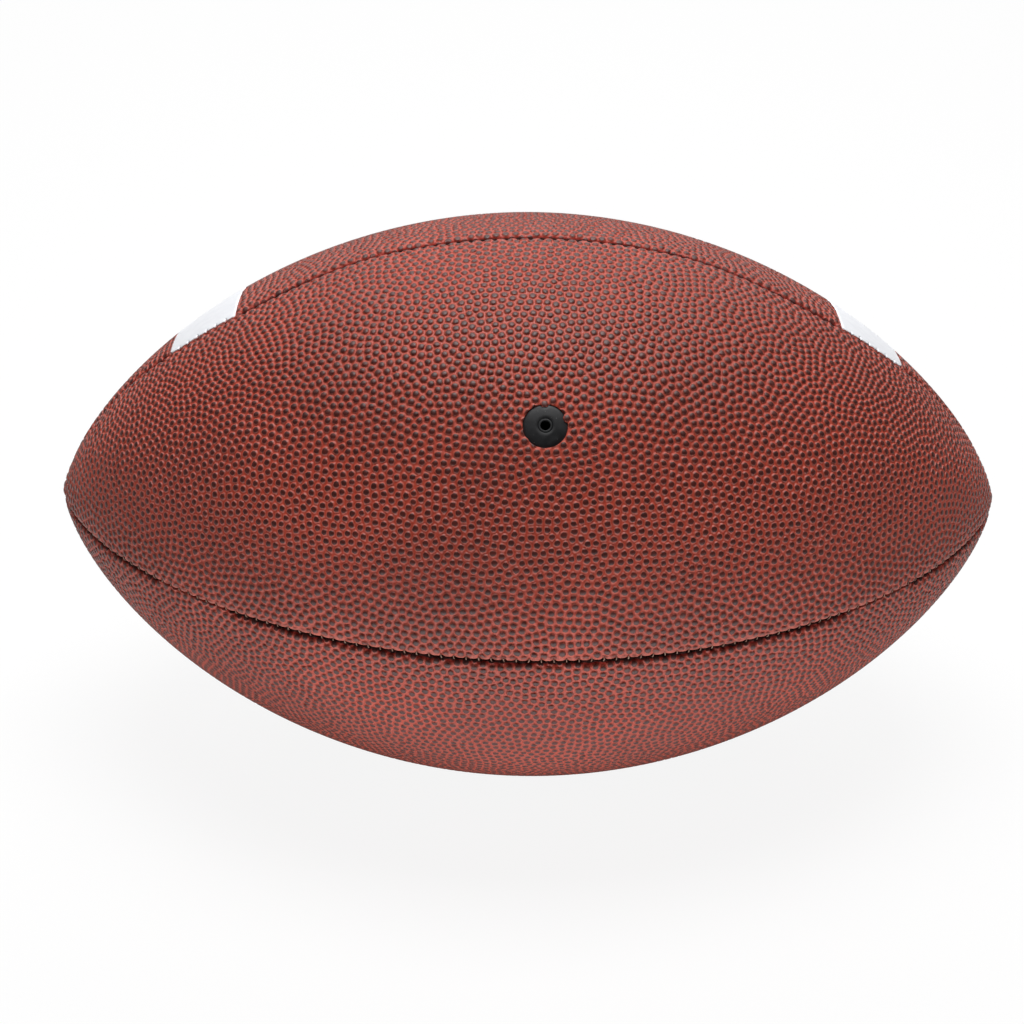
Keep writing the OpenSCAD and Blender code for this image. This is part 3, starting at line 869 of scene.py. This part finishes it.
def edge_distance(u, v, loop_u, loop_v):
    """Distance of flat points from a closed loop"""
    best = np.full(len(u), 1.0)
    for a, b, c, d in zip(loop_u, loop_v, np.roll(loop_u, -1), np.roll(loop_v, -1)):
        ex, ey = c - a, d - b
        t = np.clip(((u - a) * ex + (v - b) * ey) / max(ex * ex + ey * ey, 1e-14), 0, 1)
        best = np.minimum(best, np.hypot(u - a - t * ex, v - b - t * ey))
    return best


def stripe(name, panel, span, seed, material, node):
    """A stripe as a thin closed patch with rounded edges, laid in its panel's bed"""
    low, high = span
    loop = stripe_outline(low, high)
    loop_flat = flat(*loop.T)
    # Sets of places, each used from a distance to a distance from the border
    sets = [(*inset(loop, size).T, 0.8 * size, 1.1 * size) for size in (0.4 * STRIPE_BEVEL, STRIPE_BEVEL)]
    for step, count, near, far in STRIPE_GRIDS:
        grid = np.meshgrid(np.arange(low, high, step), np.linspace(-1, 1, count) * HALF_PANEL)
        sets.append((grid[0].ravel(), grid[1].ravel(), near, far))
    spots = []
    for s, turn, near, far in sets:
        u, v = flat(s, turn)
        away = edge_distance(u, v, *loop_flat)
        good = within(np.column_stack([u, v]), np.column_stack(loop_flat)) & (away > near) & (away < far)
        spots.append(np.column_stack([s[good], turn[good], away[good]]))
    spots.append(np.column_stack([loop, np.zeros(len(loop))]))
    s, turn, away = np.concatenate(spots).T
    ids = np.arange(len(s) - len(loop), len(s))
    faces = filled(*flat(s, turn), [ids])
    apart = seam_distance(s, turn)
    roll = np.where(turn < 0, *(np.minimum(STRIPE_ROLL_R, r) for r in panel.rolls))
    rise = np.sqrt(1 - (1 - np.clip(away / STRIPE_BEVEL, 0, 1)) ** 2)
    wave = 0.02 * MM * np.sin(s / MM * 0.9 + 3 * np.sin(turn * 9 + seed))
    height = STRIPE_T - STRIPE_BED - (1 - rise) * STRIPE_DROP + wave * smooth(away, 0, 2 * MM)
    height = height - roll_depth(apart, roll) - 0.2 * stitch_pull(s, apart, seed)
    top = lift(s, turn + panel.middle, height)
    under = lift(loop[:, 0], loop[:, 1] + panel.middle, height[ids] - STRIPE_SKIRT)
    low_ids = np.arange(len(s), len(s) + len(loop))
    bottom = filled(*loop_flat, [np.arange(len(loop))]) + len(s)
    faces = np.concatenate([faces, bottom, walls([ids], [low_ids])])
    place(new_mesh(name, np.concatenate([top, under]), faces, material), "stripe", node)


# Lacing


def lacing(material):
    """Two long runs along the slit, and cross bars over them that go down into the holes"""
    parts = []
    first, last = END_HOLE_S
    near = [(first + a * MM, away * MM, height * MM) for a, away, height in LACE_RUN]
    far = [(last - a * MM, away * MM, height * MM) for a, away, height in LACE_RUN[::-1]]
    middle = [(s_at(MIDDLE_X) + side * RUN_MIDDLE, *near[-1][1:]) for side in (-1, 1)]
    for side in (-1, 1):
        s, away, height = rounded(near + middle + far, 150).T
        angle = side * away / radius(s)
        ends = smooth(np.minimum(s - first, last - s), -1.5 * MM, 6 * MM)
        parts.append(strap(lift(s, angle, height), around_ball(angle), LACE_W * (0.55 + 0.45 * ends)))
    shape = [(-a, h) for a, h in LACE_BAR] + [(0, BAR_TOP)] + LACE_BAR[::-1]
    rng = np.random.default_rng(31)
    for s in ROW_S:
        away, height = rounded(shape, 61).T
        slant = rng.normal(0, 0.012)
        spots = s + slant * away + rng.normal(0, 0.1 * MM)
        angle = away / radius(s)
        narrow = smooth(np.abs(away), HOLE_SIDE - 2.5 * MM, HOLE_SIDE)
        parts.append(strap(lift(spots, angle, height), along_ball(spots, angle), LACE_W * (1 - 0.2 * narrow)))
    place(new_mesh("white_lacing", *joined(parts), material), "lace", "lace")


# Valve


def turned(name, profile, steps, material, node):
    """A closed body of revolution about the valve's axis"""
    out = Vector((0, math.cos(VALVE_ANGLE), math.sin(VALVE_ANGLE)))
    side = Vector((1, 0, 0))
    other = out.cross(side)
    points, faces = [], []
    for r, depth in profile:
        for k in range(steps):
            turn = 2 * math.pi * k / steps
            spot = out * (BELLY_R - depth * MM) + (side * math.cos(turn) + other * math.sin(turn)) * r * MM
            points.append(Vector((MIDDLE_X, 0, 0)) + spot)
    count = len(profile)
    for i in range(count):
        for k in range(steps):
            a, b = i * steps + k, i * steps + (k + 1) % steps
            c, d = ((i + 1) % count) * steps + (k + 1) % steps, ((i + 1) % count) * steps + k
            faces += [(a, b, c), (a, c, d)]
    place(new_mesh(name, np.array(points), np.array(faces), material), "valve", node)


# Materials


class Tree:
    """The shader nodes of a material or the world. Values are outputs of nodes, numbers or colours."""

    def __init__(self, owner):
        owner.use_nodes = True
        self.nodes = owner.node_tree.nodes
        self.links = owner.node_tree.links

    def feed(self, node, inputs):
        """Links or sets a node's inputs, given by name or number"""
        for key, value in inputs.items():
            if isinstance(value, bpy.types.NodeSocket):
                self.links.new(value, node.inputs[key])
            elif isinstance(value, tuple):
                node.inputs[key].default_value = (*value, 1)
            elif value is not None:
                node.inputs[key].default_value = value
        return node

    def add(self, kind, inputs=None, **settings):
        """A new node with settings and inputs"""
        node = self.nodes.new("ShaderNode" + kind)
        for name, value in settings.items():
            setattr(node, name, value)
        return self.feed(node, inputs or {})

    def maths(self, operation, a, b=None, c=None):
        return self.add("Math", {0: a, 1: b, 2: c}, operation=operation).outputs[0]

    def mapped(self, value, low, high, first=0.0, last=1.0):
        """A smooth step from first to last as the value goes from low to high"""
        inputs = {"Value": value, "From Min": low, "From Max": high, "To Min": first, "To Max": last}
        return self.add("MapRange", inputs, interpolation_type="SMOOTHSTEP").outputs["Result"]

    def blended(self, share, first, second, mode="MIX"):
        return self.add("Mix", {0: share, 6: first, 7: second}, data_type="RGBA", blend_type=mode).outputs[2]

    def scaled(self, colour, factor):
        return self.add("VectorMath", {0: colour, "Scale": factor}, operation="SCALE").outputs[0]

    def spot(self, kind="Object"):
        return self.add("TexCoord").outputs[kind]

    def split(self, vector):
        return self.add("SeparateXYZ", {0: vector}).outputs

    def noise(self, scale, detail=2.0, stretch=(1, 1, 1)):
        mapping = self.add("Mapping", {"Vector": self.spot(), "Scale": list(stretch)})
        inputs = {"Vector": mapping.outputs["Vector"], "Scale": scale, "Detail": detail}
        return self.add("TexNoise", inputs).outputs["Fac"]

    def bump(self, height, distance, strength=1.0, under=None):
        inputs = {"Strength": strength, "Distance": distance, "Height": height, "Normal": under}
        return self.add("Bump", inputs).outputs["Normal"]

    def stored(self, name, output="Fac"):
        """Values that a mesh holds under a name"""
        return self.add("Attribute", attribute_name=name).outputs[output]

    def whiten(self, kind, share, plain, output):
        """Shows plain white for a share in place of a plain shader"""
        white = self.add(kind, {"Color": (1, 1, 1), "Strength": 1.0})
        mix = self.add("MixShader", {"Fac": share, 1: plain.outputs[0], 2: white.outputs[0]})
        self.feed(self.nodes[output], {"Surface": mix.outputs[0]})


def new_material(name):
    material = bpy.data.materials.new(name)
    tree = Tree(material)
    return material, tree, tree.nodes["Principled BSDF"]


def leather():
    """Dark tops over brighter valleys, pinker flanks as a painted highlight, and painted shade, darker and
    duller, where the leather rolls into a seam
    """
    material, tree, shader = new_material("grained_leather")
    x, y, tone = tree.split(tree.stored("grain", "Vector"))
    away = tree.maths("SQRT", tree.maths("ADD", tree.maths("MULTIPLY", x, x), tree.maths("MULTIPLY", y, y)))
    ragged = tree.maths("MULTIPLY_ADD", tree.noise(1300.0), 0.26, -0.13)
    edge = tree.maths("ADD", away, ragged)
    plain = tree.stored("plain")
    grained = tree.maths("SUBTRACT", 1.0, plain)
    shown = tree.maths("MULTIPLY_ADD", plain, -0.75, 1.0)
    top = tree.maths("MULTIPLY", tree.mapped(edge, 0.56, 0.84, 1.0, 0.0), shown)
    # Painted highlight: a pinker ring on each grain's flank, around its dark top
    flank = tree.mapped(edge, 0.82, 1.12, 1.0, 0.0)
    base = tree.blended(plain, tree.blended(flank, LEATHER_VALLEY, LEATHER_FLANK_HIGHLIGHT), LEATHER_PLAIN)
    base = tree.scaled(base, tree.mapped(tree.noise(22.0, 3.0), 0.3, 0.7, 0.88, 1.1))
    dark, light = (tuple(share * q for q in LEATHER_TOP) for share in (0.8, 1.35))
    colour = tree.blended(top, base, tree.blended(tone, dark, light))
    # Painted shade in the seams: the deeper the leather lies, the darker its colour, made ragged by a noise,
    # and near black deepest in the crease
    sunk = tree.maths("MULTIPLY_ADD", tree.noise(520.0, 3.0), 0.6, -0.3)
    sunk = tree.maths("ADD", sunk, tree.stored("sunk"))
    low = tree.mapped(sunk, 0.36, 0.80)
    deep = tree.mapped(sunk, 0.76, 1.08)
    colour = tree.blended(low, colour, tree.blended(1.0, colour, LEATHER_SHADED, "MULTIPLY"))
    gloss = tree.mapped(top, 0.0, 1.0, 0.50, 0.46)
    fine = tree.bump(tree.noise(2600.0, 3.0), 0.05 * MM, 0.35)
    dome = tree.maths("MULTIPLY", tree.mapped(away, 0.58, 1.08, 1.0, 0.0), grained)
    tree.feed(shader, {
        "Base Color": tree.blended(deep, colour, LEATHER_CREASE_SHADE),
        "Roughness": tree.maths("MAXIMUM", gloss, low),
        "Specular IOR Level": 0.42,
        "Sheen Weight": 0.08,
        "Sheen Roughness": 0.35,
        "Sheen Tint": (1.0, 0.55, 0.48),
        "Normal": tree.bump(dome, 0.26 * MM, 1.0, fine),
    })
    return material


def two_toned(name, pattern, low, high, colours, roughness, depth, strength, raised=False):
    """A plain material with two colours in a noise's pattern. raised: its bumps step like its colours."""
    material, tree, shader = new_material(name)
    fibres = tree.noise(*pattern)
    tint = tree.mapped(fibres, low, high)
    tree.feed(shader, {
        "Base Color": tree.blended(tint, *colours),
        "Roughness": roughness,
        "Normal": tree.bump(tint if raised else fibres, depth, strength),
    })
    return material


def white_lace():
    """Pebbled vinyl with a little soil"""
    material, tree, shader = new_material("white_lace_vinyl")
    pits = tree.add("TexVoronoi", {"Scale": 1100.0, "Vector": tree.spot()})
    grip = tree.mapped(pits.outputs["Distance"], 0.1, 0.6, 1.0, 0.0)
    soil = tree.mapped(tree.noise(90.0, 4.0), 0.4, 0.75)
    tree.feed(shader, {
        "Base Color": tree.blended(soil, *LACE),
        "Roughness": 0.5,
        "Normal": tree.bump(grip, 0.12 * MM, 0.6),
    })
    return material


def rubber(name, colour, roughness, speck=0.0):
    """Cloudy dull rubber, with specks of dust where speck is their brightness"""
    material, tree, shader = new_material(name)
    cloud = tree.mapped(tree.noise(500.0, 4.0), 0.3, 0.7)
    base = tree.blended(cloud, *(tuple(share * q for q in colour) for share in (0.85, 1.2)))
    if speck:
        dust = tree.mapped(tree.noise(2400.0, 1.0), 0.74, 0.80)
        base = tree.blended(dust, base, (speck, speck, speck))
    tree.feed(shader, {
        "Base Color": base,
        "Roughness": tree.mapped(cloud, 0.0, 1.0, roughness, roughness + 0.12),
        "Specular IOR Level": 0.25,
        "Normal": tree.bump(tree.noise(1800.0, 3.0), 0.03 * MM, 0.5),
    })
    return material


def woven(name, colour, pitch, depth):
    """Cloth: two sets of threads that cross"""
    material, tree, shader = new_material(name)
    waves = []
    for axis in ("X", "Z"):
        inputs = {"Scale": 2 * math.pi / 20 / pitch, "Distortion": 0.6, "Vector": tree.spot()}
        waves.append(tree.add("TexWave", inputs, bands_direction=axis).outputs["Fac"])
    weave = tree.maths("MAXIMUM", *waves)
    tree.feed(shader, {
        "Base Color": tree.blended(weave, tuple(0.6 * q for q in colour), colour),
        "Roughness": 0.85,
        "Normal": tree.bump(weave, depth, 0.6),
    })
    return material


def carry_over(nodes, material):
    """Gives CAD nodes that stay a finish of their own"""
    for node in nodes:
        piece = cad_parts[node]
        piece.data.materials.clear()
        piece.data.materials.append(material)


# The pieces

leather_material = leather()
upper_panel = Panel(math.radians(45), 12, (ROLL_R, SOFT_ROLL_R), laced_side=-1, worn=(1, 0.5 * MM, 1.6 * MM))
lower_panel = Panel(math.radians(315), 13, (ROLL_R, ROLL_R), laced_side=1)
PANELS = {
    "valve_panel": Panel(math.radians(135), 11, (SHARP_ROLL_R, SHARP_ROLL_R),
                         worn=(1, 0.3 * MM, 1.6 * MM), valve=True),
    "upper_lace_panel": upper_panel,
    "lower_lace_panel": lower_panel,
    "front_lower_panel": Panel(math.radians(225), 14, (WIDE_ROLL_R, ROLL_R)),
}
for node, panel in PANELS.items():
    cover(f"{node}_cover", panel, leather_material, node)

thread = two_toned("waxed_thread", (900.0, 2.0, (1, 0.3, 0.3)), 0.35, 0.65, THREAD, 0.6, 0.05 * MM, 0.6)
THREAD_START, THREAD_END = STITCH_S[0] - 0.5 * MM, STITCH_S[-1] + 0.5 * MM
ALL_ALONG = [(THREAD_START, THREAD_END)]
OUTSIDE_SLIT = [(THREAD_START, s_at(MIDDLE_X - SLIT_HALF)), (s_at(MIDDLE_X + SLIT_HALF), THREAD_END)]
SEAMS = {
    "top": (TOP_SEAM, ALL_ALONG, HIDDEN_STITCH_SINK, 0.0),
    "front": (FRONT_SEAM, ALL_ALONG, FRONT_STITCH_SINK, FRONT_STITCH_SLANT),
    "bottom": (BOTTOM_SEAM, ALL_ALONG, STITCH_SINK, 0.0),
    "lace": (LACED_SEAM, OUTSIDE_SLIT, HIDDEN_STITCH_SINK, 0.0),
}
for name, (seam, spans, sink, slant_down) in SEAMS.items():
    seam_thread(f"{name}_seam_stitches", seam, thread, f"{name}_seam_thread", spans, sink, slant_down)

vinyl = two_toned("white_vinyl", (420.0, 3.0, (0.25, 1, 1)), 0.35, 0.7, VINYL, 0.42, 0.05 * MM, 0.4)
for half, panel, seed in (("upper", upper_panel, 41), ("lower", lower_panel, 51)):
    for end, span in STRIPE_SPANS.items():
        stripe(f"{half}_{end}_stripe_band", panel, span, seed, vinyl, f"{half}_{end}_stripe")

lacing(white_lace())
turned("valve_head", VALVE_PROFILE, 72, rubber("black_rubber", BLACK, 0.45, 0.18), "valve_body")
turned("valve_plug_body", PLUG_PROFILE, 48, rubber("plug_rubber", BLACK, 0.45), "valve_plug")

LININGS = ["valve_lining", "upper_lace_lining", "lower_lace_lining", "front_lower_lining"]
STIFFENERS = ["upper_lace_facing", "lower_lace_facing", "lace_tongue"]
carry_over(LININGS, woven("lining_cloth", LINING, 0.8 * MM, 0.1 * MM))
carry_over(STIFFENERS,
           two_toned("suede", (700.0, 4.0), 0.3, 0.7, SUEDE, 0.9, 0.1 * MM, 0.5, raised=True))
carry_over(["bladder"], rubber("bladder_rubber", BLADDER, 0.5))


# Stage, light and camera


def pale_material():
    """A matt floor that the camera sees mostly as plain white near the ball, so that it stays pale under a
    shadow, and wholly far off. The light that it throws back on the ball fades out towards the camera."""
    material, tree, shader = new_material("pale_floor")
    seen = tree.add("LightPath").outputs["Is Camera Ray"]
    near = tree.mapped(tree.split(tree.spot())[1], SHADE_TO, SHADE_FROM)
    lit = tree.maths("MAXIMUM", near, seen)
    tree.feed(shader, {
        "Base Color": tree.blended(lit, (FLOOR_DARK,) * 3, (FLOOR_WHITE,) * 3),
        "Roughness": 0.9,
    })
    away = tree.add("VectorMath", {0: tree.spot()}, operation="LENGTH").outputs["Value"]
    shown = tree.maths("MULTIPLY", seen, tree.mapped(away, 0.5, 1.6, FLOOR_SHOWN, 1.0))
    tree.whiten("Emission", shown, shader, "Material Output")
    return material


def stage():
    corners = [(x * FLOOR_HALF, y * FLOOR_HALF, FLOOR_Z) for x, y in ((-1, -1), (1, -1), (1, 1), (-1, 1))]
    new_mesh("floor", corners, np.array([(0, 1, 2), (0, 2, 3)]), pale_material())


def area_lamp(name, place_at, aim, size, watts):
    data = bpy.data.lights.new(name, "AREA")
    data.shape = "RECTANGLE"
    data.size, data.size_y = size
    data.energy = watts
    lamp = bpy.data.objects.new(name, data)
    lamp.location = place_at
    lamp.rotation_euler = (Vector(aim) - Vector(place_at)).to_track_quat("-Z", "Y").to_euler()
    lamp.visible_camera = False
    bpy.context.scene.collection.objects.link(lamp)


def world_light():
    """Faint light all round, and bright reflections from behind and above. The camera sees plain white."""
    world = bpy.data.worlds.new("studio")
    bpy.context.scene.world = world
    tree = Tree(world)
    path = tree.add("LightPath").outputs
    _, y, z = tree.split(tree.spot("Generated"))
    bright = tree.maths("MULTIPLY", tree.mapped(y, -0.30, 0.45, 0.0, 1.25), tree.mapped(z, 0.10, 0.75))
    bright = tree.maths("MULTIPLY", bright, path["Is Glossy Ray"])
    strength = tree.maths("ADD", bright, WORLD_LIGHT)
    soft = tree.feed(tree.nodes["Background"], {"Color": (1, 1, 1), "Strength": strength})
    tree.whiten("Background", path["Is Camera Ray"], soft, "World Output")


def lights():
    for name, (place_at, size, watts) in SOFTBOXES.items():
        area_lamp(name, place_at, (0, 0, 0), size, watts)
    for name, (y, size, watts) in GLOWS.items():
        area_lamp(f"table_glow_{name}", (0, y, FLOOR_Z + 2 * MM), (0, y, 1), size, watts)
    world_light()


def level_axes(forward):
    """The directions to the right and up in a level view"""
    right = forward.cross(Vector((0, 0, 1))).normalized()
    return right, right.cross(forward)


def camera():
    rise, azimuth = CAMERA_RISE, CAMERA_AZIMUTH
    back = Vector((math.cos(rise) * math.sin(azimuth), -math.cos(rise) * math.cos(azimuth), math.sin(rise)))
    right, up = level_axes(-back)
    place_at = back * CAMERA_DISTANCE
    forward = (right * CAMERA_AIM[0] + up * CAMERA_AIM[1] - place_at).normalized()
    right, up = level_axes(forward)
    turned_right = right * math.cos(CAMERA_ROLL) + up * math.sin(CAMERA_ROLL)
    turned_up = up * math.cos(CAMERA_ROLL) - right * math.sin(CAMERA_ROLL)
    axes = Matrix((turned_right, turned_up, -forward)).transposed()
    data = bpy.data.cameras.new("camera")
    data.lens = CAMERA_LENS
    data.sensor_width = 36
    data.clip_start = 0.01
    eye = bpy.data.objects.new("camera", data)
    eye.matrix_world = Matrix.Translation(place_at) @ axes.to_4x4()
    bpy.context.scene.collection.objects.link(eye)
    bpy.context.scene.camera = eye


stage()
lights()
camera()
bpy.context.scene.view_settings.view_transform = "Standard"
